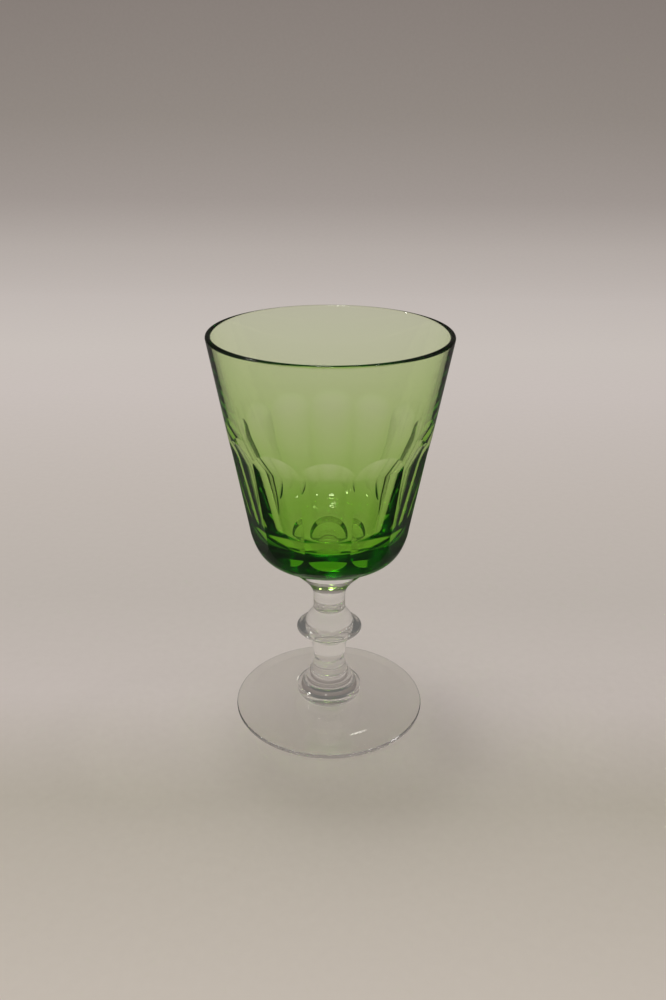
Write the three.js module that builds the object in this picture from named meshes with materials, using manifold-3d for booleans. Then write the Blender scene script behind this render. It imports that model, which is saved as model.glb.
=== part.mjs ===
// A small stemmed wine glass: a green bowl cut with a ring of flat flutes, on a clear stem with one
// ring knop, a stepped button and a thin round foot. Millimetres, +Z up, origin under the foot's centre.
// The glass is put together hot, so every joint is a flat weld, face to face.
import * as THREE from "three";
import { mergeVertices } from "three/addons/utils/BufferGeometryUtils.js";
import Module from "manifold-3d";

// Foot
const FOOT_RADIUS = 31.8;
const FOOT_EDGE_THICKNESS = 1.3;
const FOOT_RISE = 2.7;
const FOOT_SAG = 0.7;
const FOOT_REST_WIDTH = 3.2;
const FOOT_HOLLOW_DEPTH = 1.2;
const FOOT_HOLLOW_FLAT_SHARE = 0.6;

// Button, the stepped knob between the foot and the stem. Its side stands on a round belly, and a
// smaller bell rises inside its shoulder to the hollow of the neck.
const BUTTON_RADIUS = 10.65;
const BUTTON_WELD_RADIUS = 9.8;
const BUTTON_BELLY_HEIGHT = 1.5;
const BUTTON_SIDE_HEIGHT = 1.9;
const BUTTON_SHOULDER_RISE = 0.3;
const BUTTON_SHOULDER_WIDTH = 1.75;
const BUTTON_BELL_RADIUS = 7.7;
const BUTTON_BELL_HEIGHT = 3.7;
const BUTTON_HOLLOW_TURN = 4.2;
const BUTTON_HOLLOW_HEIGHT = 6.8;
const BUTTON_NECK_HEIGHT = 0.6;

// Stem, two short necks with a ring knop between them. The knop is a round-edged double cone with a
// collar on top.
const NECK_RADIUS = 5.2;
const LOWER_NECK_FLARE = 0.5;
const LOWER_NECK_TURN = 4.9;
const LOWER_NECK_HEIGHT = 7.4;
const KNOP_FOOT_RADIUS = 6.0;
const KNOP_UNDERSIDE_REACH = 1.7;
const KNOP_UNDERSIDE_LIFT = 1.5;
const KNOP_UNDERSIDE_HEIGHT = 4.3;
const KNOP_RADIUS = 10.8;
const KNOP_EDGE_HALF = 0.7;
const KNOP_SHOULDER_RADIUS = 8.4;
const KNOP_SHOULDER_HEIGHT = 2.9;
const KNOP_COLLAR_RADIUS = 7.8;
const KNOP_COLLAR_DRAW_IN = 0.5;
const KNOP_COLLAR_FOOT = 1.7;
const KNOP_COLLAR_HOLLOW = 2.2;
const KNOP_COLLAR_HEIGHT = 5.1;
const UPPER_NECK_HEIGHT = 3.8;

// Merese, the clear collar that carries the bowl
const MERESE_RADIUS = 11.8;
const MERESE_HEIGHT = 12.6;
const MERESE_EDGE = 2.5;
const MERESE_NECK_HEIGHT = 3.9;
const MERESE_HOLLOW_RADIUS = 8.2;
const MERESE_HOLLOW_HEIGHT = 6.5;

// Bowl. It stands on a low green lip as wide as the merese. Inside, the wall leans in more below a
// soft bend, so the glass is thick where it is cut.
const BOWL_HEIGHT = 75.4;
const RIM_RADIUS = 36.5;
const RIM_WALL = 1.7;
const WALL_LEAN = THREE.MathUtils.degToRad(10.15);
const LIP_HEIGHT = 2.8;
const UNDERSIDE_REACH = 8.5;
const CORNER_HEIGHT = 13.6;
const CORNER_REACH = 13.4;
const BASE_THICKNESS = 11.1;
const INSIDE_LEAN = THREE.MathUtils.degToRad(12.5);
const INSIDE_LOWER_LEAN = THREE.MathUtils.degToRad(17.8);
const INSIDE_BEND_BELOW_RIM = 30.0;
const INSIDE_BEND_HALF = 6.0;
const INSIDE_CORNER_RADIUS = 12.0;
const FLOOR_DISH = 1.4;

// Flutes, cut into the bowl by the edge of a wheel
const FLUTES = 12;
const FLUTE_EXTRA_DEPTH = 0.08;
const FLUTE_FULL_DEPTH_BELOW_RIM = 35.5;
const WHEEL_RADIUS = 21.0;
const WHEEL_RUN_OUT = THREE.MathUtils.degToRad(40);

// How finely round forms are divided
const STEM_SIDES = 48;
const FOOT_SIDES = 72;
const BOWL_SIDES = 72;
const CURVE_DIVISIONS = 7;
const RUN_OUT_DIVISIONS = 12;

const footTopZ = FOOT_EDGE_THICKNESS + FOOT_RISE;
const buttonShoulderZ = footTopZ + BUTTON_BELLY_HEIGHT + BUTTON_SIDE_HEIGHT;
const buttonBellTopZ = buttonShoulderZ + BUTTON_BELL_HEIGHT;
const buttonTopZ = buttonBellTopZ + BUTTON_HOLLOW_HEIGHT + BUTTON_NECK_HEIGHT;
const knopFootZ = buttonTopZ + LOWER_NECK_HEIGHT;
const knopEdgeZ = knopFootZ + KNOP_UNDERSIDE_HEIGHT;
const collarFootZ = knopEdgeZ + KNOP_SHOULDER_HEIGHT;
const collarTopZ = collarFootZ + KNOP_COLLAR_HEIGHT;
const stemTopZ = collarTopZ + UPPER_NECK_HEIGHT;
const bowlBottomZ = stemTopZ + MERESE_HEIGHT;
const rimZ = bowlBottomZ + BOWL_HEIGHT;

const wasm = await Module();
wasm.setup();

const clearGlass = { color: 0xe4e6df, roughness: 0.02, metalness: 0, transparent: true, opacity: 0.4 };
const greenGlass = { color: 0x6f9a35, roughness: 0.02, metalness: 0, transparent: true, opacity: 0.55 };

// Turns an outline of (radius, height) points about the Z axis.
function turned(path, sides) {
  const points = path.getPoints(CURVE_DIVISIONS);
  const outline = points.filter((p, i) => i === 0 || p.distanceTo(points[i - 1]) > 1e-6);
  return new THREE.LatheGeometry(outline, sides).rotateX(Math.PI / 2);
}

function solidOf(geometry) {
  const bare = geometry.clone();
  bare.deleteAttribute("normal");
  bare.deleteAttribute("uv");
  const merged = mergeVertices(bare, 1e-4);
  return new wasm.Manifold(
    new wasm.Mesh({
      numProp: 3,
      vertProperties: merged.getAttribute("position").array,
      triVerts: new Uint32Array(merged.index.array),
    }),
  );
}

function geometryOf(solid) {
  const mesh = solid.getMesh();
  const geometry = new THREE.BufferGeometry();
  geometry.setAttribute("position", new THREE.BufferAttribute(mesh.vertProperties, 3));
  geometry.setIndex(new THREE.BufferAttribute(mesh.triVerts, 1));
  geometry.computeVertexNormals();
  return geometry;
}

// The foot: a thin disc that rises towards the stem, hollow underneath, resting on its outer ring.
function footGeometry() {
  const edgeRound = FOOT_EDGE_THICKNESS / 2;
  const restOuter = FOOT_RADIUS - edgeRound;
  const restInner = restOuter - FOOT_REST_WIDTH;
  const path = new THREE.Path();
  path.moveTo(0, FOOT_HOLLOW_DEPTH);
  path.quadraticCurveTo(FOOT_HOLLOW_FLAT_SHARE * restInner, FOOT_HOLLOW_DEPTH, restInner, 0);
  path.lineTo(restOuter, 0);
  path.absarc(restOuter, edgeRound, edgeRound, -Math.PI / 2, Math.PI / 2, false);
  path.quadraticCurveTo(
    (restOuter + BUTTON_WELD_RADIUS) / 2,
    FOOT_EDGE_THICKNESS + FOOT_RISE / 2 - FOOT_SAG,
    BUTTON_WELD_RADIUS,
    footTopZ,
  );
  path.lineTo(0, footTopZ);
  return turned(path, FOOT_SIDES);
}

// The button: a round belly, an upright side, a bell stepped back on top, and a hollow to the neck.
function buttonGeometry() {
  const bellyZ = footTopZ + BUTTON_BELLY_HEIGHT;
  const path = new THREE.Path();
  path.moveTo(0, footTopZ);
  path.lineTo(BUTTON_WELD_RADIUS, footTopZ);
  path.quadraticCurveTo(BUTTON_RADIUS, (footTopZ + bellyZ) / 2, BUTTON_RADIUS, bellyZ);
  path.lineTo(BUTTON_RADIUS, buttonShoulderZ);
  path.bezierCurveTo(
    BUTTON_RADIUS,
    buttonShoulderZ + BUTTON_SHOULDER_RISE,
    BUTTON_RADIUS - BUTTON_SHOULDER_WIDTH,
    buttonShoulderZ + BUTTON_SHOULDER_RISE,
    BUTTON_BELL_RADIUS,
    buttonBellTopZ,
  );
  path.quadraticCurveTo(
    NECK_RADIUS,
    buttonBellTopZ + BUTTON_HOLLOW_TURN,
    NECK_RADIUS,
    buttonBellTopZ + BUTTON_HOLLOW_HEIGHT,
  );
  path.lineTo(NECK_RADIUS, buttonTopZ);
  path.lineTo(0, buttonTopZ);
  return turned(path, STEM_SIDES);
}

// The stem: the lower neck flares a little to the knop's foot, and the upper neck rises from a collar
// on top of the knop.
function stemGeometry() {
  const path = new THREE.Path();
  path.moveTo(0, buttonTopZ);
  path.lineTo(NECK_RADIUS, buttonTopZ);
  path.quadraticCurveTo(
    NECK_RADIUS + LOWER_NECK_FLARE,
    buttonTopZ + LOWER_NECK_TURN,
    KNOP_FOOT_RADIUS,
    knopFootZ,
  );
  path.bezierCurveTo(
    KNOP_FOOT_RADIUS + KNOP_UNDERSIDE_REACH,
    knopFootZ + KNOP_UNDERSIDE_LIFT,
    KNOP_RADIUS,
    knopEdgeZ - KNOP_EDGE_HALF,
    KNOP_RADIUS,
    knopEdgeZ,
  );
  path.bezierCurveTo(
    KNOP_RADIUS,
    knopEdgeZ + KNOP_EDGE_HALF,
    KNOP_SHOULDER_RADIUS,
    knopEdgeZ + KNOP_EDGE_HALF,
    KNOP_COLLAR_RADIUS,
    collarFootZ,
  );
  path.bezierCurveTo(
    KNOP_COLLAR_RADIUS - KNOP_COLLAR_DRAW_IN,
    collarFootZ + KNOP_COLLAR_FOOT,
    NECK_RADIUS,
    collarTopZ - KNOP_COLLAR_HOLLOW,
    NECK_RADIUS,
    collarTopZ,
  );
  path.lineTo(NECK_RADIUS, stemTopZ);
  path.lineTo(0, stemTopZ);
  return turned(path, STEM_SIDES);
}

// The merese: a clear collar that flares from the neck to the underside of the bowl.
function mereseGeometry() {
  const path = new THREE.Path();
  path.moveTo(0, stemTopZ);
  path.lineTo(NECK_RADIUS, stemTopZ);
  path.bezierCurveTo(
    NECK_RADIUS,
    stemTopZ + MERESE_NECK_HEIGHT,
    MERESE_HOLLOW_RADIUS,
    stemTopZ + MERESE_HOLLOW_HEIGHT,
    MERESE_RADIUS,
    bowlBottomZ - MERESE_EDGE,
  );
  path.lineTo(MERESE_RADIUS, bowlBottomZ);
  path.lineTo(0, bowlBottomZ);
  return turned(path, STEM_SIDES);
}

// The outer wall's radius at a height, before cutting. The wall is widest where the rim's round begins.
const rimRound = RIM_WALL / 2;
function wallRadius(z) {
  return RIM_RADIUS - (rimZ - rimRound - z) * Math.tan(WALL_LEAN);
}

// The bowl before cutting: a cone-walled cup with a thick base and a rounded rim. Its flat underside
// curves out and up into the straight wall.
function bowlBlank() {
  const undersideZ = bowlBottomZ + LIP_HEIGHT;
  const cornerTopZ = undersideZ + CORNER_HEIGHT;
  const cornerTurnZ = cornerTopZ - CORNER_REACH * Math.cos(WALL_LEAN);
  const cornerTurnRadius = wallRadius(cornerTopZ) - CORNER_REACH * Math.sin(WALL_LEAN);

  const rimInside = RIM_RADIUS - RIM_WALL;
  const bendZ = rimZ - INSIDE_BEND_BELOW_RIM;
  const bendRadius = rimInside - (INSIDE_BEND_BELOW_RIM - rimRound) * Math.tan(INSIDE_LEAN);
  const aboveBend = bendRadius + INSIDE_BEND_HALF * Math.tan(INSIDE_LEAN);
  const belowBend = bendRadius - INSIDE_BEND_HALF * Math.tan(INSIDE_LOWER_LEAN);
  const floorZ = bowlBottomZ + BASE_THICKNESS;
  const insideCentreZ = floorZ + INSIDE_CORNER_RADIUS;
  const insideFootZ = insideCentreZ - INSIDE_CORNER_RADIUS * Math.sin(INSIDE_LOWER_LEAN);
  const insideFootRadius = bendRadius - (bendZ - insideFootZ) * Math.tan(INSIDE_LOWER_LEAN);
  const insideCentreRadius = insideFootRadius - INSIDE_CORNER_RADIUS * Math.cos(INSIDE_LOWER_LEAN);

  const path = new THREE.Path();
  path.moveTo(0, bowlBottomZ);
  path.lineTo(MERESE_RADIUS, bowlBottomZ);
  path.lineTo(MERESE_RADIUS, undersideZ);
  path.bezierCurveTo(
    MERESE_RADIUS + UNDERSIDE_REACH,
    undersideZ,
    cornerTurnRadius,
    cornerTurnZ,
    wallRadius(cornerTopZ),
    cornerTopZ,
  );
  path.lineTo(RIM_RADIUS, rimZ - rimRound);
  path.absarc(RIM_RADIUS - rimRound, rimZ - rimRound, rimRound, 0, Math.PI, false);
  path.lineTo(aboveBend, bendZ + INSIDE_BEND_HALF);
  path.quadraticCurveTo(bendRadius, bendZ, belowBend, bendZ - INSIDE_BEND_HALF);
  path.lineTo(insideFootRadius, insideFootZ);
  path.absarc(
    insideCentreRadius,
    insideCentreZ,
    INSIDE_CORNER_RADIUS,
    -INSIDE_LOWER_LEAN,
    -Math.PI / 2,
    true,
  );
  path.quadraticCurveTo(insideCentreRadius / 2, floorZ, 0, floorZ - FLOOR_DISH);
  return solidOf(turned(path, BOWL_SIDES));
}

// One flute's cut: everything outside a flat face that leans with the wall. The wheel leaves the
// wall on its own radius at the top, which makes the arch, and runs straight off the corner below.
function fluteCut(turn) {
  const halfAngle = Math.PI / FLUTES;
  const faceRadius = (z) => wallRadius(z) * Math.cos(halfAngle) - FLUTE_EXTRA_DEPTH;
  const faceLean = Math.atan(Math.tan(WALL_LEAN) * Math.cos(halfAngle));
  const runOutZ = rimZ - FLUTE_FULL_DEPTH_BELOW_RIM;
  const wheelX = faceRadius(runOutZ) + WHEEL_RADIUS * Math.cos(faceLean);
  const wheelZ = runOutZ - WHEEL_RADIUS * Math.sin(faceLean);
  const leaveAngle = Math.PI - faceLean - WHEEL_RUN_OUT;
  const shape = new THREE.Shape();
  shape.moveTo(wheelX + WHEEL_RADIUS * Math.cos(leaveAngle), bowlBottomZ);
  shape.absarc(wheelX, wheelZ, WHEEL_RADIUS, leaveAngle, Math.PI - faceLean, false);
  shape.lineTo(faceRadius(bowlBottomZ), bowlBottomZ);
  const width = 2 * RIM_RADIUS * Math.tan(halfAngle);
  const cut = new THREE.ExtrudeGeometry(shape, {
    depth: width,
    bevelEnabled: false,
    curveSegments: RUN_OUT_DIVISIONS,
  });
  cut.translate(0, 0, -width / 2);
  cut.rotateX(Math.PI / 2);
  cut.rotateZ(turn);
  return solidOf(cut);
}

function bowlGeometry() {
  let bowl = bowlBlank();
  for (let i = 0; i < FLUTES; i++) {
    bowl = bowl.subtract(fluteCut((i * 2 * Math.PI) / FLUTES));
  }
  return geometryOf(bowl);
}

const glass = new THREE.Group();
glass.name = "wine_glass";

function add(name, geometry, material) {
  const mesh = new THREE.Mesh(geometry, new THREE.MeshStandardMaterial(material));
  mesh.name = name;
  glass.add(mesh);
}

add("foot", footGeometry(), clearGlass);
add("foot_button", buttonGeometry(), clearGlass);
add("stem", stemGeometry(), clearGlass);
add("merese", mereseGeometry(), clearGlass);
add("bowl", bowlGeometry(), greenGlass);

export default glass;
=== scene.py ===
"""A small stemmed wine glass: a green bowl cut with twelve flat flutes, on a clear stem and foot."""

import math

import bpy
import numpy as np
from mathutils import Matrix, Vector


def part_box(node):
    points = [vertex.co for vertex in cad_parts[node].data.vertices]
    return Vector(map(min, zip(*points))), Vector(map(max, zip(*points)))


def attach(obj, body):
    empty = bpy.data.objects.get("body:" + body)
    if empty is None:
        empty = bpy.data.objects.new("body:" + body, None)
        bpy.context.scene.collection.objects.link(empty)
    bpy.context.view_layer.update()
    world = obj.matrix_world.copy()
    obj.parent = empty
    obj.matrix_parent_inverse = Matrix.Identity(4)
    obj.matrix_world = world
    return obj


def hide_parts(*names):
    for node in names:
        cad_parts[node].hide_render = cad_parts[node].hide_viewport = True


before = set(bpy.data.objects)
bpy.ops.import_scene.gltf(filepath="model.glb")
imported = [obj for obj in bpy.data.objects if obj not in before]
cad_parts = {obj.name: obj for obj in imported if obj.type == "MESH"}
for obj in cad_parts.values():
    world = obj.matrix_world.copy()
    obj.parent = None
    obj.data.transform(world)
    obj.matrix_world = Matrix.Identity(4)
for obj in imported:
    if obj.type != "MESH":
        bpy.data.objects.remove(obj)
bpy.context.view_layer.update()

# The foot: a thin disc of clear soda glass, pressed out hot with a wooden paddle and fire-polished.
# It rises gently towards the stem, is hollow underneath and rests on its outer ring.
MM = 0.001
FRAME_DIGITS = 5


def reach_of(node):
    """The largest radius of a solid of the frame, to a hundredth of a millimetre."""
    return round(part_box(node)[1][0], FRAME_DIGITS)


def top_of(node):
    """The height of the top of a solid of the frame, to a hundredth of a millimetre."""
    return round(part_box(node)[1][2], FRAME_DIGITS)


FOOT_RADIUS = reach_of("foot")
FOOT_EDGE = 1.3 * MM
FOOT_TOP = top_of("foot")
FOOT_SAG = 0.7 * MM
FOOT_REST_WIDTH = 3.2 * MM
FOOT_HOLLOW = 1.2 * MM
FOOT_HOLLOW_FULLNESS = 0.6
FOOT_WELD_RADIUS = 9.8 * MM
FOOT_SIDES = 256
WELD_GAP = 0.005 * MM
HOT_CORNER = 0.25 * MM


def curve_run(*controls, steps=20):
    """Points and directions along a Bezier curve, as rows of radius, height and the two directions."""
    t = np.linspace(0, 1, steps + 1)[:, None]
    layer = [np.array(c, float) for c in controls]
    while len(layer) > 2:
        layer = [a + (b - a) * t for a, b in zip(layer, layer[1:])]
    points = layer[0] + (layer[1] - layer[0]) * t
    ways = (layer[1] - layer[0]) * np.ones_like(points)
    return np.hstack([points, ways / np.linalg.norm(ways, axis=1)[:, None]])


def straight_run(start, end, steps=2):
    """Points and directions along a straight line."""
    return curve_run(start, end, steps=steps)


def round_run(centre, radii, start, end, steps=20):
    """Points and directions along an ellipse, from one angle to another."""
    a = np.linspace(start, end, steps + 1)
    ways = np.sign(end - start) * np.column_stack([-radii[0] * np.sin(a), radii[1] * np.cos(a)])
    points = np.column_stack([centre[0] + radii[0] * np.cos(a), centre[1] + radii[1] * np.sin(a)])
    return np.hstack([points, ways / np.linalg.norm(ways, axis=1)[:, None]])


LARGEST_CUT = 0.4
JUST_PAST = 1.0001


def shortened(run, cut):
    """A run without its first stretch of a given length."""
    along = np.concatenate([[0], np.cumsum(np.linalg.norm(np.diff(run[:, :2], axis=0), axis=1))])
    cut = min(cut, LARGEST_CUT * along[-1])
    start = [np.interp(cut, along, run[:, i]) for i in range(4)]
    return np.vstack([start, run[along > cut * JUST_PAST]])


LEAST_TURN = 0.03
SAME_PLACE = 1e-8


def outline(runs, corner=HOT_CORNER):
    """Joins runs end to end. Fire polish leaves no sharp corner, so each one gets a small round."""
    joined = [runs[0]]
    for run in runs[1:]:
        last = joined[-1]
        turn = math.acos(min(1.0, float(last[-1, 2:] @ run[0, 2:])))
        if turn > LEAST_TURN:
            tip = run[0, :2]
            last = shortened(last[::-1], corner)[::-1]
            run = shortened(run, corner)
            joined[-1] = last
            joined.append(curve_run(last[-1, :2], tip, run[0, :2], steps=8))
        joined.append(run)
    rows = np.vstack(joined)
    apart = np.linalg.norm(np.diff(rows[:, :2], axis=0), axis=1) > SAME_PLACE
    return rows[np.concatenate([[True], apart])]


def piece_from(name, points, normals, faces, marks):
    """A mesh object with its own smooth normals. marks holds each face's material slot."""
    mesh = bpy.data.meshes.new(name)
    mesh.from_pydata(points.tolist(), [], faces)
    mesh.polygons.foreach_set("use_smooth", [True] * len(faces))
    mesh.polygons.foreach_set("material_index", marks)
    mesh.normals_split_custom_set_from_vertices(normals.tolist())
    mesh.update()
    piece = bpy.data.objects.new(name, mesh)
    bpy.context.scene.collection.objects.link(piece)
    return piece


ON_AXIS = 1e-7
GLASS_FACE = 0
WELD_FACE = 1


def turned_piece(name, rows, sides):
    """Turns an outline about the Z axis. An end of the outline off the axis is a weld and gets a disc."""
    angles = np.arange(sides) * 2 * math.pi / sides
    around = np.column_stack([np.cos(angles), np.sin(angles)])
    points, normals, rings = [], [], []
    for r, z, way_r, way_z in rows:
        rings.append(len(points))
        if r < ON_AXIS:
            points.append((0.0, 0.0, z))
            normals.append((0.0, 0.0, -1.0 if way_r > 0 else 1.0))
        else:
            points += [(r * c, r * s, z) for c, s in around]
            normals += [(way_z * c, way_z * s, -way_r) for c, s in around]
    rings.append(len(points))
    faces, marks = [], []
    for low, high, end in zip(rings, rings[1:], rings[2:]):
        for i in range(sides):
            j = (i + 1) % sides
            if high - low == 1:
                faces.append((low, high + j, high + i))
            elif end - high == 1:
                faces.append((low + i, low + j, high))
            else:
                faces.append((low + i, low + j, high + j, high + i))
            marks.append(GLASS_FACE)
    if rings[1] - rings[0] > 1:
        points.append((0.0, 0.0, rows[0, 1]))
        normals.append((0.0, 0.0, -1.0))
        for i in range(sides):
            faces.append(((i + 1) % sides, i, len(points) - 1))
            marks.append(WELD_FACE)
    if rings[-1] - rings[-2] > 1:
        points.append((0.0, 0.0, rows[-1, 1]))
        normals.append((0.0, 0.0, 1.0))
        for i in range(sides):
            faces.append((rings[-2] + i, rings[-2] + (i + 1) % sides, len(points) - 1))
            marks.append(WELD_FACE)
    return piece_from(name, np.array(points), np.array(normals), faces, marks)


WAVE_HEIGHT = 1.0 * MM
SPECKS_PER_METRE = 900.0
WORN_FROM = 0.55
WORN_TO = 0.75


def glass_surface_group():
    """Hand-worked glass: a very slight waviness, and fine wear that dulls the polish in places."""
    group = bpy.data.node_groups.new("glass_surface", "ShaderNodeTree")
    for name in ("Wave Size", "Wave Depth", "Polish", "Wear"):
        group.interface.new_socket(name, in_out="INPUT", socket_type="NodeSocketFloat")
    group.interface.new_socket("Roughness", in_out="OUTPUT", socket_type="NodeSocketFloat")
    group.interface.new_socket("Normal", in_out="OUTPUT", socket_type="NodeSocketVector")
    nodes, links = group.nodes, group.links
    given = nodes.new("NodeGroupInput")
    result = nodes.new("NodeGroupOutput")
    place = nodes.new("ShaderNodeTexCoord")
    pitch = nodes.new("ShaderNodeMath")
    pitch.operation = "DIVIDE"
    pitch.inputs[0].default_value = 1.0
    links.new(given.outputs["Wave Size"], pitch.inputs[1])
    waves = nodes.new("ShaderNodeTexNoise")
    waves.inputs["Detail"].default_value = 0.0
    links.new(place.outputs["Object"], waves.inputs["Vector"])
    links.new(pitch.outputs[0], waves.inputs["Scale"])
    bump = nodes.new("ShaderNodeBump")
    bump.inputs["Distance"].default_value = WAVE_HEIGHT
    links.new(given.outputs["Wave Depth"], bump.inputs["Strength"])
    links.new(waves.outputs["Fac"], bump.inputs["Height"])
    links.new(bump.outputs["Normal"], result.inputs["Normal"])
    specks = nodes.new("ShaderNodeTexNoise")
    specks.inputs["Scale"].default_value = SPECKS_PER_METRE
    specks.inputs["Detail"].default_value = 3.0
    links.new(place.outputs["Object"], specks.inputs["Vector"])
    worn = nodes.new("ShaderNodeMapRange")
    worn.inputs["From Min"].default_value = WORN_FROM
    worn.inputs["From Max"].default_value = WORN_TO
    links.new(specks.outputs["Fac"], worn.inputs["Value"])
    add = nodes.new("ShaderNodeMath")
    add.operation = "MULTIPLY_ADD"
    links.new(worn.outputs["Result"], add.inputs[0])
    links.new(given.outputs["Wear"], add.inputs[1])
    links.new(given.outputs["Polish"], add.inputs[2])
    links.new(add.outputs[0], result.inputs["Roughness"])
    return group


glass_surface = glass_surface_group()
GLASS_IOR = 1.52
WAVE_SIZE = 12.0 * MM
WAVE_DEPTH = 0.02
POLISH_ROUGHNESS = 0.0
WEAR_ROUGHNESS = 0.01


def glass_material(name, tint):
    """Glass with the surface of hand work. Returns the material, its glass shader and its output."""
    material = bpy.data.materials.new(name)
    material.use_nodes = True
    nodes, links = material.node_tree.nodes, material.node_tree.links
    glass = nodes["Principled BSDF"]
    glass.inputs["Base Color"].default_value = (*tint, 1.0)
    glass.inputs["Metallic"].default_value = 0.0
    glass.inputs["Transmission Weight"].default_value = 1.0
    glass.inputs["IOR"].default_value = GLASS_IOR
    surface = nodes.new("ShaderNodeGroup")
    surface.node_tree = glass_surface
    surface.inputs["Wave Size"].default_value = WAVE_SIZE
    surface.inputs["Wave Depth"].default_value = WAVE_DEPTH
    surface.inputs["Polish"].default_value = POLISH_ROUGHNESS
    surface.inputs["Wear"].default_value = WEAR_ROUGHNESS
    links.new(surface.outputs["Roughness"], glass.inputs["Roughness"])
    links.new(surface.outputs["Normal"], glass.inputs["Normal"])
    return material, glass, nodes["Material Output"]


CLEAR_TINT = (0.985, 0.99, 0.975)
clear_glass = glass_material("clear_glass", CLEAR_TINT)[0]

# Where two pieces are welded the glass runs on without a surface, so the weld faces show nothing.
weld = bpy.data.materials.new("weld")
weld.use_nodes = True
weld.node_tree.nodes.remove(weld.node_tree.nodes["Principled BSDF"])
weld.node_tree.links.new(
    weld.node_tree.nodes.new("ShaderNodeBsdfTransparent").outputs[0],
    weld.node_tree.nodes["Material Output"].inputs["Surface"],
)


def finish_clear_piece(piece, node):
    """Gives a clear piece its glass and its welds, and lets it stand for its solid of the frame."""
    piece.data.materials.append(clear_glass)
    piece.data.materials.append(weld)
    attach(piece, "root")
    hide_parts(node)


foot_round = FOOT_EDGE / 2
foot_rest_outer = FOOT_RADIUS - foot_round
foot_rest_inner = foot_rest_outer - FOOT_REST_WIDTH
foot_outline = outline(
    [
        curve_run(
            (0, FOOT_HOLLOW),
            (FOOT_HOLLOW_FULLNESS * foot_rest_inner, FOOT_HOLLOW),
            (foot_rest_inner, 0),
            steps=24,
        ),
        straight_run((foot_rest_inner, 0), (foot_rest_outer, 0)),
        round_run((foot_rest_outer, foot_round), (foot_round, foot_round), -math.pi / 2, math.pi / 2),
        curve_run(
            (foot_rest_outer, FOOT_EDGE),
            ((foot_rest_outer + FOOT_WELD_RADIUS) / 2, (FOOT_EDGE + FOOT_TOP) / 2 - FOOT_SAG),
            (FOOT_WELD_RADIUS, FOOT_TOP - WELD_GAP),
            steps=24,
        ),
    ]
)
foot = turned_piece("foot_disc", foot_outline, FOOT_SIDES)
finish_clear_piece(foot, "foot")

# The button: a gob of clear glass dropped hot on the foot and tooled into a round belly with an upright
# side. A smaller bell is stepped back on top, and a hollow curve leads up from it to the stem.
BUTTON_RADIUS = reach_of("foot_button")
BUTTON_BELLY = 5.5 * MM
BUTTON_SHOULDER = 7.4 * MM
BUTTON_SHOULDER_RISE = 0.3 * MM
BUTTON_SHOULDER_WIDTH = 1.75 * MM
BUTTON_BELL_RADIUS = 7.7 * MM
BUTTON_BELL_TOP = 11.1 * MM
BUTTON_HOLLOW_TURN = 15.3 * MM
BUTTON_HOLLOW_TOP = 17.9 * MM
BUTTON_TOP = top_of("foot_button")
NECK_RADIUS = 5.2 * MM
STEM_SIDES = 192
button_outline = outline(
    [
        curve_run(
            (FOOT_WELD_RADIUS, FOOT_TOP + WELD_GAP),
            (BUTTON_RADIUS, (FOOT_TOP + BUTTON_BELLY) / 2),
            (BUTTON_RADIUS, BUTTON_BELLY),
        ),
        straight_run((BUTTON_RADIUS, BUTTON_BELLY), (BUTTON_RADIUS, BUTTON_SHOULDER)),
        curve_run(
            (BUTTON_RADIUS, BUTTON_SHOULDER),
            (BUTTON_RADIUS, BUTTON_SHOULDER + BUTTON_SHOULDER_RISE),
            (BUTTON_RADIUS - BUTTON_SHOULDER_WIDTH, BUTTON_SHOULDER + BUTTON_SHOULDER_RISE),
            (BUTTON_BELL_RADIUS, BUTTON_BELL_TOP),
            steps=36,
        ),
        curve_run(
            (BUTTON_BELL_RADIUS, BUTTON_BELL_TOP),
            (NECK_RADIUS, BUTTON_HOLLOW_TURN),
            (NECK_RADIUS, BUTTON_HOLLOW_TOP),
            steps=24,
        ),
        straight_run((NECK_RADIUS, BUTTON_HOLLOW_TOP), (NECK_RADIUS, BUTTON_TOP - WELD_GAP)),
    ]
)
button = turned_piece("foot_button_dome", button_outline, STEM_SIDES)
finish_clear_piece(button, "foot_button")

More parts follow.
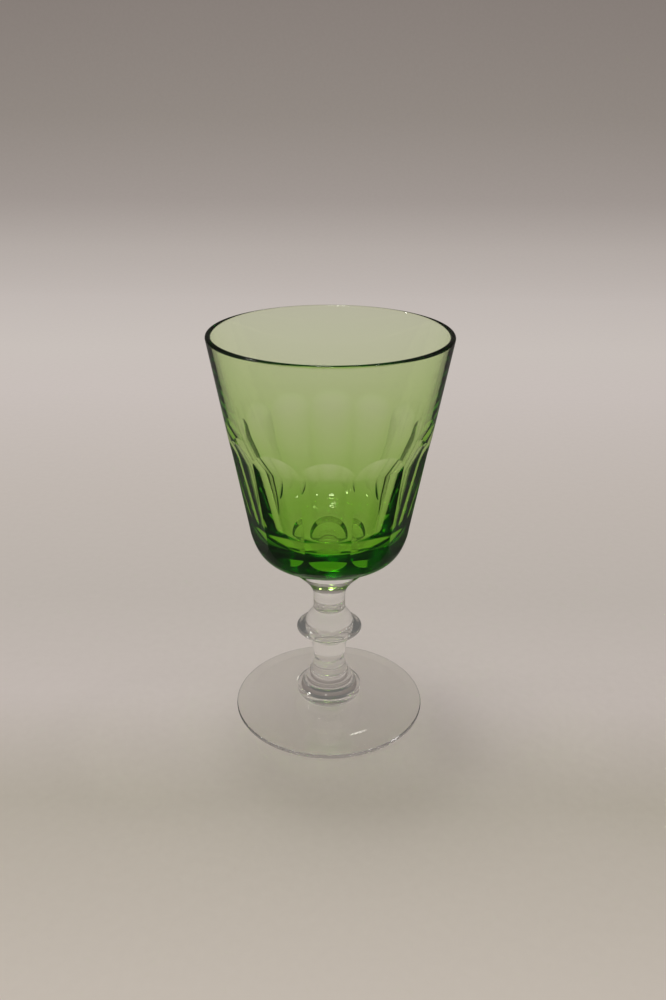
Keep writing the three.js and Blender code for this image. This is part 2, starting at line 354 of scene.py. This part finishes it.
# The stem: clear glass with one ring knop, turned between the jacks while hot. The knop is a double
# cone with a round edge. A collar sits on it, and a short neck leaves it on each side, welded to the
# button below and to the merese above.
LOWER_NECK_FLARE = 0.5 * MM
LOWER_NECK_TURN = 23.4 * MM
KNOP_FOOT = (6.0 * MM, 25.9 * MM)
KNOP_UNDERSIDE = (7.7 * MM, 27.4 * MM)
KNOP_RADIUS = reach_of("stem")
KNOP_EDGE = 30.2 * MM
KNOP_EDGE_HALF = 0.7 * MM
KNOP_SHOULDER_RADIUS = 8.4 * MM
COLLAR_FOOT = (7.8 * MM, 33.1 * MM)
COLLAR_SIDE = (7.3 * MM, 34.8 * MM)
COLLAR_HOLLOW = 36.0 * MM
COLLAR_TOP = 38.2 * MM
STEM_TOP = top_of("stem")
stem_outline = outline(
    [
        curve_run(
            (NECK_RADIUS, BUTTON_TOP + WELD_GAP),
            (NECK_RADIUS + LOWER_NECK_FLARE, LOWER_NECK_TURN),
            KNOP_FOOT,
        ),
        curve_run(
            KNOP_FOOT,
            KNOP_UNDERSIDE,
            (KNOP_RADIUS, KNOP_EDGE - KNOP_EDGE_HALF),
            (KNOP_RADIUS, KNOP_EDGE),
            steps=36,
        ),
        curve_run(
            (KNOP_RADIUS, KNOP_EDGE),
            (KNOP_RADIUS, KNOP_EDGE + KNOP_EDGE_HALF),
            (KNOP_SHOULDER_RADIUS, KNOP_EDGE + KNOP_EDGE_HALF),
            COLLAR_FOOT,
            steps=36,
        ),
        curve_run(
            COLLAR_FOOT,
            COLLAR_SIDE,
            (NECK_RADIUS, COLLAR_HOLLOW),
            (NECK_RADIUS, COLLAR_TOP),
            steps=24,
        ),
        straight_run((NECK_RADIUS, COLLAR_TOP), (NECK_RADIUS, STEM_TOP - WELD_GAP)),
    ]
)
stem = turned_piece("stem_with_knop", stem_outline, STEM_SIDES)
finish_clear_piece(stem, "stem")

# The merese: a collar of clear glass between the stem and the bowl. It flares from the neck and ends
# in a low upright lip that is welded under the bowl.
MERESE_RADIUS = reach_of("merese")
MERESE_TOP = top_of("merese")
MERESE_EDGE = 2.5 * MM
MERESE_NECK = 45.9 * MM
MERESE_HOLLOW = (8.2 * MM, 48.5 * MM)
merese_outline = outline(
    [
        curve_run(
            (NECK_RADIUS, STEM_TOP + WELD_GAP),
            (NECK_RADIUS, MERESE_NECK),
            MERESE_HOLLOW,
            (MERESE_RADIUS, MERESE_TOP - MERESE_EDGE),
            steps=30,
        ),
        straight_run((MERESE_RADIUS, MERESE_TOP - MERESE_EDGE), (MERESE_RADIUS, MERESE_TOP - WELD_GAP)),
    ]
)
merese = turned_piece("merese_collar", merese_outline, STEM_SIDES)
finish_clear_piece(merese, "merese")

# The bowl: green glass coloured all through, blown thick at the base, with a thin polished rim. A low
# lip under it is welded to the merese. A cutter's wheel ground twelve flat flutes round it, each with
# an arched top, and polish softened their edges.
BOWL_BOTTOM = MERESE_TOP
LIP_TOP = 57.1 * MM
BOWL_TOP = top_of("bowl")
RIM_RADIUS = reach_of("bowl")
RIM_WALL = 1.7 * MM
WALL_LEAN = math.radians(10.15)
UNDERSIDE_REACH = 8.9 * MM
CORNER_TOP = 71.0 * MM
CORNER_REACH = 13.4 * MM
INSIDE_LEAN = math.radians(12.5)
INSIDE_LOWER_LEAN = math.radians(17.8)
INSIDE_BEND = 100.0 * MM
INSIDE_BEND_HALF = 6.0 * MM
INSIDE_CORNER_RADIUS = 12.0 * MM
FLOOR = 65.7 * MM
FLOOR_TURN = math.radians(18)
FLUTES = 12
FLUTE_EXTRA_DEPTH = 0.08 * MM
FLUTE_RUN_OUT = 94.5 * MM
WHEEL_RADIUS = 21.0 * MM
FLUTE_FOOT = 70.0 * MM
FOOT_WHEEL_RADIUS = 45.0 * MM
ARCH_SOFTNESS = 0.04 * MM
RIB_SOFTNESS = 0.06 * MM
RIB_HALF_WIDTH = math.radians(0.22)
FACE_COLUMNS = 16
RIB_COLUMNS = 4
CORNER_STEPS = 4000
UNDERSIDE_STEPS = 1800
UNDERSIDE_STRIDE = 45

rim_round = RIM_WALL / 2
half_flute = math.pi / FLUTES
lean = math.tan(WALL_LEAN)


def wall_radius(z):
    """The straight outer wall's radius before cutting."""
    return RIM_RADIUS - (BOWL_TOP - rim_round - z) * lean


corner_end = (wall_radius(CORNER_TOP), CORNER_TOP)
corner_turn = (
    corner_end[0] - CORNER_REACH * math.sin(WALL_LEAN),
    corner_end[1] - CORNER_REACH * math.cos(WALL_LEAN),
)
underside_turn = (MERESE_RADIUS + UNDERSIDE_REACH, LIP_TOP)
corner = curve_run((MERESE_RADIUS, LIP_TOP), underside_turn, corner_turn, corner_end, steps=CORNER_STEPS)
corner_share = np.linspace(0, 1, CORNER_STEPS + 1)
lip_and_underside = outline(
    [
        straight_run((MERESE_RADIUS, BOWL_BOTTOM + WELD_GAP), (MERESE_RADIUS, LIP_TOP), steps=4),
        corner[: UNDERSIDE_STEPS + 1 : UNDERSIDE_STRIDE],
    ]
)


def blank_radius(z):
    """The bowl's outside before cutting: the flat underside curves out and up into the straight wall."""
    return np.where(z < CORNER_TOP, np.interp(z, corner[:, 1], corner[:, 0]), wall_radius(z))


face_lean = math.atan(lean * math.cos(half_flute))
LEAST_DROP = 1e-12


def face_radius(z):
    """The distance of a flute's face from the axis. The wheel leaves a round at its top and its foot."""
    foot_rise = np.maximum(FLUTE_FOOT - z, 0) ** 2 / (2 * FOOT_WHEEL_RADIUS)
    flat = wall_radius(z) * math.cos(half_flute) - FLUTE_EXTRA_DEPTH + foot_rise
    edge = wall_radius(FLUTE_RUN_OUT) * math.cos(half_flute) - FLUTE_EXTRA_DEPTH
    wheel_x = edge + WHEEL_RADIUS * math.cos(face_lean)
    wheel_z = FLUTE_RUN_OUT - WHEEL_RADIUS * math.sin(face_lean)
    drop = np.maximum(WHEEL_RADIUS**2 - (z - wheel_z) ** 2, LEAST_DROP)
    return np.where(z < FLUTE_RUN_OUT, flat, wheel_x - np.sqrt(drop))


def soft_min(a, b, softness):
    """The lesser of two surfaces, with the polished round where they meet."""
    near = np.maximum(softness - np.abs(a - b), 0) / softness
    return np.minimum(a, b) - near**2 * softness / 4


def outside_radius(turn, z):
    """The cut bowl's outer radius at an angle and a height."""
    off = np.abs((turn + half_flute) % (2 * half_flute) - half_flute)
    faces = soft_min(
        face_radius(z) / np.cos(off), face_radius(z) / np.cos(2 * half_flute - off), RIB_SOFTNESS
    )
    return soft_min(blank_radius(z), faces, ARCH_SOFTNESS)


ARCH_SEARCH = (85 * MM, 104 * MM)
FLUTE_FOOT_SEARCH = (80 * MM, 56 * MM)
HALVINGS = 50


def crossing(off, gap, search):
    """The height at which a flute's face lies a given gap outside the blank, by halving the search."""
    inside, outside = np.full_like(off, search[0]), np.full_like(off, search[1])
    for _ in range(HALVINGS):
        middle = (inside + outside) / 2
        past = face_radius(middle) / np.cos(off) - blank_radius(middle) > gap
        inside, outside = np.where(past, inside, middle), np.where(past, middle, outside)
    return (inside + outside) / 2


rib_edge = half_flute - RIB_HALF_WIDTH
face_columns = np.linspace(0, rib_edge, FACE_COLUMNS, endpoint=False)
rib_columns = np.linspace(rib_edge, half_flute, RIB_COLUMNS)
half_turns = np.concatenate([face_columns, rib_columns])
sector = np.concatenate([half_turns, 2 * half_flute - half_turns[-2:0:-1]])
face_turns = np.concatenate([sector + i * 2 * half_flute for i in range(FLUTES)])
turns = face_turns - math.pi / 2
offs = np.tile(np.concatenate([half_turns, half_turns[-2:0:-1]]), FLUTES)

EDGE_ROWS = 5
edge_gaps = np.linspace(1, -1, EDGE_ROWS) * ARCH_SOFTNESS
arch_rows = [crossing(offs, gap, ARCH_SEARCH) for gap in edge_gaps]
foot_rows = [crossing(offs, gap, FLUTE_FOOT_SEARCH) for gap in edge_gaps[::-1]]


def rows_between(start, end, count):
    """Heights between two rows, with neither of them."""
    return [start + (end - start) * (k + 1) / (count + 1) for k in range(count)]


ROWS_ABOVE_ARCH = 8
ROWS_IN_ARCH = 14
ROWS_IN_FLUTE = 10
ROWS_IN_CORNER = 20
top_row = np.full_like(offs, BOWL_TOP - rim_round)
run_out_row = np.full_like(offs, FLUTE_RUN_OUT)
outer_rows = [top_row] + rows_between(top_row, arch_rows[0], ROWS_ABOVE_ARCH) + arch_rows
outer_rows += rows_between(arch_rows[-1], run_out_row, ROWS_IN_ARCH) + [run_out_row]
outer_rows += rows_between(run_out_row, foot_rows[0], ROWS_IN_FLUTE) + foot_rows
last_share = np.interp(foot_rows[-1], corner[:, 1], corner_share)
underside_share = corner_share[UNDERSIDE_STEPS]
for share in rows_between(last_share, underside_share, ROWS_IN_CORNER):
    outer_rows.append(np.interp(share, corner_share, corner[:, 1]))

TURN_STEP = 1e-5
HEIGHT_STEP = 0.5e-6


def slope(before, after, step):
    """How fast a value changes, from its values one step before and one step after."""
    return (after - before) / (2 * step)


def outer_ring(z):
    """Points and normals of one row of the cut outside."""
    r = outside_radius(face_turns, z)
    by_turn = slope(
        outside_radius(face_turns - TURN_STEP, z), outside_radius(face_turns + TURN_STEP, z), TURN_STEP
    )
    by_z = slope(
        outside_radius(face_turns, z - HEIGHT_STEP),
        outside_radius(face_turns, z + HEIGHT_STEP),
        HEIGHT_STEP,
    )
    c, s = np.cos(turns), np.sin(turns)
    normals = np.column_stack([c + by_turn / r * s, s - by_turn / r * c, -by_z])
    normals /= np.linalg.norm(normals, axis=1)[:, None]
    return np.column_stack([r * c, r * s, z]), normals


rim_inside = (RIM_RADIUS - RIM_WALL, BOWL_TOP - rim_round)
bend_radius = rim_inside[0] - (rim_inside[1] - INSIDE_BEND) * math.tan(INSIDE_LEAN)
bend_above = (
    bend_radius + INSIDE_BEND_HALF * math.tan(INSIDE_LEAN),
    INSIDE_BEND + INSIDE_BEND_HALF,
)
bend_below = (
    bend_radius - INSIDE_BEND_HALF * math.tan(INSIDE_LOWER_LEAN),
    INSIDE_BEND - INSIDE_BEND_HALF,
)
inside_z = FLOOR + INSIDE_CORNER_RADIUS
inside_foot_z = inside_z - INSIDE_CORNER_RADIUS * math.sin(INSIDE_LOWER_LEAN)
inside_foot_radius = bend_radius - (INSIDE_BEND - inside_foot_z) * math.tan(INSIDE_LOWER_LEAN)
inside_radius = inside_foot_radius - INSIDE_CORNER_RADIUS * math.cos(INSIDE_LOWER_LEAN)
floor_edge = (
    inside_radius + INSIDE_CORNER_RADIUS * math.sin(FLOOR_TURN),
    inside_z - INSIDE_CORNER_RADIUS * math.cos(FLOOR_TURN),
)
floor_centre = floor_edge[1] - floor_edge[0] / 2 * math.tan(FLOOR_TURN)
inner_outline = outline(
    [
        round_run(
            (RIM_RADIUS - rim_round, BOWL_TOP - rim_round),
            (rim_round, rim_round),
            0,
            math.pi,
            steps=24,
        ),
        straight_run(rim_inside, bend_above, steps=6),
        curve_run(bend_above, (bend_radius, INSIDE_BEND), bend_below, steps=24),
        straight_run(bend_below, (inside_foot_radius, inside_foot_z), steps=8),
        round_run(
            (inside_radius, inside_z),
            (INSIDE_CORNER_RADIUS, INSIDE_CORNER_RADIUS),
            -INSIDE_LOWER_LEAN,
            FLOOR_TURN - math.pi / 2,
            steps=32,
        ),
        curve_run(floor_edge, (floor_edge[0] / 2, floor_centre), (0, floor_centre), steps=24),
    ]
)


def bowl_piece():
    """The bowl's rings of points from the lip up its outside and down its inside, closed at both ends."""
    columns = len(turns)
    c, s = np.cos(turns), np.sin(turns)
    rings, shades = [], []

    def add_turned(rows):
        for r, z, way_r, way_z in rows:
            rings.append(np.column_stack([r * c, r * s, np.full(columns, z)]))
            shades.append(np.column_stack([way_z * c, way_z * s, np.full(columns, -way_r)]))

    add_turned(lip_and_underside)
    for z in outer_rows[::-1]:
        points, normals = outer_ring(z)
        rings.append(points)
        shades.append(normals)
    add_turned(inner_outline[1:-1])
    ends = np.array([(0, 0, BOWL_BOTTOM + WELD_GAP), (0, 0, floor_centre)])
    points = np.vstack(rings + [ends])
    normals = np.vstack(shades + [np.array([(0, 0, -1), (0, 0, 1)])])
    faces = []
    for k in range(len(rings) - 1):
        for i in range(columns):
            j = (i + 1) % columns
            low, high = k * columns, (k + 1) * columns
            faces.append((low + i, low + j, high + j, high + i))
    last = (len(rings) - 1) * columns
    for i in range(columns):
        j = (i + 1) % columns
        faces.append((j, i, len(points) - 2))
        faces.append((last + i, last + j, len(points) - 1))
    return piece_from("fluted_bowl", points, normals, faces, [GLASS_FACE] * len(faces))


NO_TINT = (1.0, 1.0, 1.0)
GREEN_COLOUR = (0.5625, 0.85, 0.0, 1.0)
GREEN_DEPTH = 160.0
bowl = bowl_piece()
green_glass, green_shader, green_output = glass_material("green_glass", NO_TINT)
green_nodes, green_links = green_glass.node_tree.nodes, green_glass.node_tree.links
colour = green_nodes.new("ShaderNodeVolumeAbsorption")
colour.inputs["Color"].default_value = GREEN_COLOUR
colour.inputs["Density"].default_value = GREEN_DEPTH
green_links.new(colour.outputs["Volume"], green_output.inputs["Volume"])

# The bowl is closed by its weld face, so that the colour has a body to fill. That face is its lowest
# part and shows nothing, like the other weld faces.
height = green_nodes.new("ShaderNodeTexCoord")
height_parts = green_nodes.new("ShaderNodeSeparateXYZ")
green_links.new(height.outputs["Object"], height_parts.inputs[0])
above_weld = green_nodes.new("ShaderNodeMath")
above_weld.operation = "GREATER_THAN"
above_weld.inputs[1].default_value = BOWL_BOTTOM + 2 * WELD_GAP
green_links.new(height_parts.outputs["Z"], above_weld.inputs[0])
green_links.new(above_weld.outputs[0], green_shader.inputs["Alpha"])
bowl.data.materials.append(green_glass)
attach(bowl, "root")
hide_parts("bowl")

# The setting: a sheet of matt off-white paper that lies flat and sweeps up behind the glass. It has a
# painted glow for the camera and through the glass, which paints light and shade onto it, and stays dim
# where the glass mirrors it.
PAPER_HALF_WIDTH = 1.5
PAPER_FRONT = -1.2
PAPER_FLAT_STOPS = (-0.3, 0.3)
PAPER_BEND_START = 0.65
PAPER_BEND_RADIUS = 0.35
PAPER_BEND_STEPS = 24
PAPER_TOP = 1.3
PAPER_UNDER = 0.05 * MM
PAPER_DARK = (0.29, 0.275, 0.255)
PAPER_PALE = (0.33, 0.315, 0.295)
PAPER_FIBRES_PER_METRE = 300.0
PAPER_ROUGHNESS = 0.9
PAPER_GLOSS = 0.1
PAPER_FADE_START = -0.7
PAPER_FADE_END = 1.3

# Each tone of the painted light has its place: how far back and up the paper it is, from under the glass.
# The tones paint a pale pool of light behind the glass, a painted shadow just in front of the foot,
# and shade that darkens the paper towards its front edge and its top.
PAPER_PAINTED_LIGHT = (
    (-0.7, (0.03, 0.027, 0.025)),
    (-0.35, (0.15, 0.13, 0.12)),
    (-0.22, (0.43, 0.38, 0.33)),
    (-0.12, (0.43, 0.38, 0.33)),
    (-0.05, (0.32, 0.285, 0.235)),
    (0.0, (0.42, 0.37, 0.345)),
    (0.07, (0.38, 0.34, 0.31)),
    (0.17, (0.41, 0.365, 0.335)),
    (0.35, (0.47, 0.42, 0.4)),
    (0.46, (0.48, 0.435, 0.41)),
    (0.65, (0.45, 0.405, 0.385)),
    (0.81, (0.37, 0.33, 0.31)),
    (0.93, (0.27, 0.235, 0.22)),
    (1.1, (0.205, 0.177, 0.16)),
    (1.3, (0.17, 0.143, 0.132)),
)

# A painted shadow of the glass: the painted glow is a little weaker around the foot.
PAPER_PAINTED_SHADOW_CENTRE = (12 * MM, -22 * MM, 0.0)
PAPER_PAINTED_SHADOW_RADIUS = 75 * MM
PAPER_PAINTED_SHADOW = 0.8


def paper_sweep():
    """The paper's mesh, drawn as a line from front to back and spread to both sides."""
    line = [(y, 0.0) for y in (PAPER_FRONT, *PAPER_FLAT_STOPS, PAPER_BEND_START)]
    for k in range(1, PAPER_BEND_STEPS + 1):
        angle = math.pi / 2 * k / PAPER_BEND_STEPS
        line.append(
            (
                PAPER_BEND_START + PAPER_BEND_RADIUS * math.sin(angle),
                PAPER_BEND_RADIUS * (1 - math.cos(angle)),
            )
        )
    line.append((PAPER_BEND_START + PAPER_BEND_RADIUS, PAPER_TOP))
    points, faces = [], []
    for y, z in line:
        points += [(-PAPER_HALF_WIDTH, y, z), (PAPER_HALF_WIDTH, y, z)]
    for k in range(len(line) - 1):
        faces.append((2 * k, 2 * k + 1, 2 * k + 3, 2 * k + 2))
    mesh = bpy.data.meshes.new("paper_sweep")
    mesh.from_pydata(points, [], faces)
    mesh.polygons.foreach_set("use_smooth", [True] * len(faces))
    sweep = bpy.data.objects.new("paper_sweep", mesh)
    sweep.location.z = -PAPER_UNDER
    bpy.context.scene.collection.objects.link(sweep)
    return sweep


sweep = paper_sweep()
paper = bpy.data.materials.new("paper")
paper.use_nodes = True
paper_nodes, paper_links = paper.node_tree.nodes, paper.node_tree.links
paper_place = paper_nodes.new("ShaderNodeTexCoord")
paper_parts = paper_nodes.new("ShaderNodeSeparateXYZ")
paper_links.new(paper_place.outputs["Object"], paper_parts.inputs[0])
paper_along = paper_nodes.new("ShaderNodeMath")
paper_along.operation = "ADD"
paper_links.new(paper_parts.outputs["Y"], paper_along.inputs[0])
paper_links.new(paper_parts.outputs["Z"], paper_along.inputs[1])
paper_share = paper_nodes.new("ShaderNodeMapRange")
paper_share.inputs["From Min"].default_value = PAPER_FADE_START
paper_share.inputs["From Max"].default_value = PAPER_FADE_END
paper_links.new(paper_along.outputs[0], paper_share.inputs["Value"])
# Painted light and shade: the glow's tones along the paper.
paper_painted_light = paper_nodes.new("ShaderNodeValToRGB")
paper_links.new(paper_share.outputs["Result"], paper_painted_light.inputs["Fac"])
painted_light_ramp = paper_painted_light.color_ramp
while len(painted_light_ramp.elements) < len(PAPER_PAINTED_LIGHT):
    painted_light_ramp.elements.new(0.5)
for element, (where, tone) in zip(painted_light_ramp.elements, PAPER_PAINTED_LIGHT):
    element.position = (where - PAPER_FADE_START) / (PAPER_FADE_END - PAPER_FADE_START)
    element.color = (*tone, 1.0)
paper_fibre = paper_nodes.new("ShaderNodeTexNoise")
paper_fibre.inputs["Scale"].default_value = PAPER_FIBRES_PER_METRE
paper_links.new(paper_place.outputs["Object"], paper_fibre.inputs["Vector"])
paper_grain = paper_nodes.new("ShaderNodeMix")
paper_grain.data_type = "RGBA"
paper_grain.inputs["A"].default_value = (*PAPER_DARK, 1.0)
paper_grain.inputs["B"].default_value = (*PAPER_PALE, 1.0)
paper_links.new(paper_fibre.outputs["Fac"], paper_grain.inputs["Factor"])
paper_shader = paper_nodes["Principled BSDF"]
paper_shader.inputs["Roughness"].default_value = PAPER_ROUGHNESS
paper_shader.inputs["Specular IOR Level"].default_value = PAPER_GLOSS
paper_links.new(paper_grain.outputs["Result"], paper_shader.inputs["Base Color"])
paper_links.new(paper_painted_light.outputs["Color"], paper_shader.inputs["Emission Color"])
paper_seen = paper_nodes.new("ShaderNodeLightPath")
paper_straight = paper_nodes.new("ShaderNodeMath")
paper_straight.operation = "MAXIMUM"
paper_links.new(paper_seen.outputs["Is Camera Ray"], paper_straight.inputs[0])
paper_links.new(paper_seen.outputs["Is Transmission Ray"], paper_straight.inputs[1])
# Painted shadow: the glow is dimmed around the foot.
painted_shadow_distance = paper_nodes.new("ShaderNodeVectorMath")
painted_shadow_distance.operation = "DISTANCE"
painted_shadow_distance.inputs[1].default_value = PAPER_PAINTED_SHADOW_CENTRE
paper_links.new(paper_place.outputs["Object"], painted_shadow_distance.inputs[0])
paper_painted_shadow = paper_nodes.new("ShaderNodeMapRange")
paper_painted_shadow.interpolation_type = "SMOOTHSTEP"
paper_painted_shadow.inputs["From Max"].default_value = PAPER_PAINTED_SHADOW_RADIUS
paper_painted_shadow.inputs["To Min"].default_value = PAPER_PAINTED_SHADOW
paper_links.new(painted_shadow_distance.outputs["Value"], paper_painted_shadow.inputs["Value"])
paper_strength = paper_nodes.new("ShaderNodeMath")
paper_strength.operation = "MULTIPLY"
paper_links.new(paper_straight.outputs[0], paper_strength.inputs[0])
paper_links.new(paper_painted_shadow.outputs["Result"], paper_strength.inputs[1])
paper_links.new(paper_strength.outputs[0], paper_shader.inputs["Emission Strength"])
sweep.data.materials.append(paper)

# The light: a dim room, and small soft lamps overhead, at the left, at the right and behind the glass.
# Each lamp is a square that faces the middle of the glass, with its side in metres and power in watts.
ROOM_TINT = (1.0, 0.97, 0.93, 1.0)
ROOM_STRENGTH = 0.15
LAMP_TINT = (1.0, 0.98, 0.95)
LAMP_AIM = (0.0, 0.0, 0.07)
LAMPS = (
    ("overhead", (-0.067, 0.158, 1.15), 0.14, 1.5),
    ("left", (-0.64, 0.136, 0.82), 0.12, 1.0),
    ("right", (0.35, 0.14, 1.0), 0.08, 0.45),
    ("behind", (0.045, 0.86, 0.77), 0.03, 0.02),
)
world = bpy.data.worlds.new("room")
bpy.context.scene.world = world
world.use_nodes = True
world.node_tree.nodes["Background"].inputs["Color"].default_value = ROOM_TINT
world.node_tree.nodes["Background"].inputs["Strength"].default_value = ROOM_STRENGTH
for name, place, side, power in LAMPS:
    lamp_data = bpy.data.lights.new(name, "AREA")
    lamp_data.shape = "SQUARE"
    lamp_data.size = side
    lamp_data.energy = power
    lamp_data.color = LAMP_TINT
    lamp = bpy.data.objects.new(name, lamp_data)
    bpy.context.scene.collection.objects.link(lamp)
    lamp.location = place
    lamp.rotation_euler = (Vector(LAMP_AIM) - Vector(place)).to_track_quat("-Z", "Y").to_euler()

# The camera stands 27 cm in front of the glass and 20 cm above the paper, and looks down on the glass.
# It is turned a little round the glass, so that the flutes stand as they do in the photo.
CAMERA_PLACE = (1.02 * MM, -268.55 * MM, 196.96 * MM)
CAMERA_TURN = math.radians(1.0)
CAMERA_PITCH = 0.4229
CAMERA_ROLL = 0.0056
CAMERA_SENSOR = 36.0
CAMERA_LENS = 33.5885
CAMERA_NEAR = 0.01
CAMERA_FAR = 20.0
camera_data = bpy.data.cameras.new("camera")
camera_data.sensor_width = CAMERA_SENSOR
camera_data.lens = CAMERA_LENS
camera_data.clip_start = CAMERA_NEAR
camera_data.clip_end = CAMERA_FAR
camera = bpy.data.objects.new("camera", camera_data)
bpy.context.scene.collection.objects.link(camera)
turn_round = Matrix.Rotation(CAMERA_TURN, 4, "Z")
camera.matrix_world = (
    turn_round
    @ Matrix.Translation(CAMERA_PLACE)
    @ Matrix.Rotation(math.pi / 2 - CAMERA_PITCH, 4, "X")
    @ Matrix.Rotation(CAMERA_ROLL, 4, "Z")
)
scene = bpy.context.scene
scene.camera = camera
scene.view_settings.view_transform = "Standard"

# Light crosses the thick base and the foot many times before it leaves them. Mirroring inside the
# glass counts as glossy, so those bounces are many too.
scene.cycles.max_bounces = 32
scene.cycles.transmission_bounces = 24
scene.cycles.glossy_bounces = 24
scene.cycles.transparent_max_bounces = 32
scene.cycles.blur_glossy = 0.0

bpy.context.view_layer.update()
